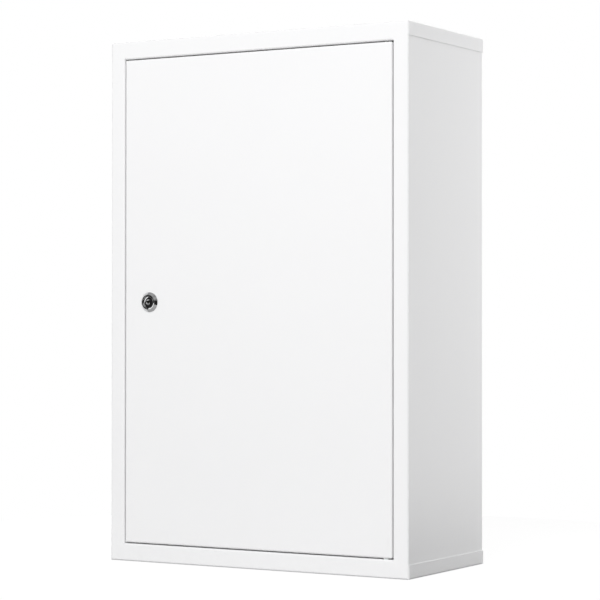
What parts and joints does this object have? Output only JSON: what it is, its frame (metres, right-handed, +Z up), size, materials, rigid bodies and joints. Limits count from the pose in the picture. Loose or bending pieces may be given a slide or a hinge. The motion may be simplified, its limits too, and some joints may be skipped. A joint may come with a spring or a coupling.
{
  "type": "lockable medicine cabinet",
  "caption": "White sheet-steel wall cabinet with a flush door on concealed corner pins, a quarter-turn cam lock and shelves inside.",
  "frame": {"origin": "middle of the base of the whole object's box, lock head included", "axes": "+X to the right seen from the front, +Y from the door towards the wall, +Z up"},
  "size_m": [0.3, 0.1424, 0.46],
  "materials": {
    "white_paint": "white powder coat, fine texture, half gloss",
    "pin_steel": "bright turned steel",
    "bumper_rubber": "matt moulded rubber",
    "bush_nylon": "natural nylon",
    "lock_chrome": "polished chrome plate",
    "plug_chrome": "turned chrome plate",
    "zinc_plate": "bright zinc plate",
    "wafer_brass": "stamped brass"
  },
  "bodies": {
    "cabinet": {"shell": "white_paint", "top_pan": "white_paint", "bottom_pan": "white_paint", "upper_shelf": "white_paint", "lower_shelf": "white_paint", "upper_left_ledge": "white_paint", "upper_right_ledge": "white_paint", "lower_left_ledge": "white_paint", "lower_right_ledge": "white_paint", "upper_hinge_bracket": "white_paint", "lower_hinge_bracket": "white_paint", "upper_hinge_pin": "pin_steel", "lower_hinge_pin": "pin_steel", "upper_door_bumper": "bumper_rubber", "lower_door_bumper": "bumper_rubber"},
    "door": {"door_pan": "white_paint", "upper_hinge_bush": "bush_nylon", "lower_hinge_bush": "bush_nylon", "lock_body": "lock_chrome", "lock_washer": "zinc_plate", "lock_nut": "zinc_plate"},
    "lock_core": {"lock_plug": "plug_chrome", "lock_wafers": "wafer_brass", "stop_washer": "zinc_plate", "cam": "zinc_plate", "cam_washer": "zinc_plate", "cam_screw": "zinc_plate"}
  },
  "joints": [
    {"name": "door_hinge", "type": "hinge", "parent": "cabinet", "child": "door", "pos_m": [0.1269, -0.0646, 0.23], "axis": [0, 0, 1], "range_deg": [0, 115]},
    {"name": "lock_turn", "type": "hinge", "parent": "door", "child": "lock_core", "pos_m": [-0.108, -0.06875, 0.229], "axis": [0, 1, 0], "range_deg": [0, 90]}
  ]
}
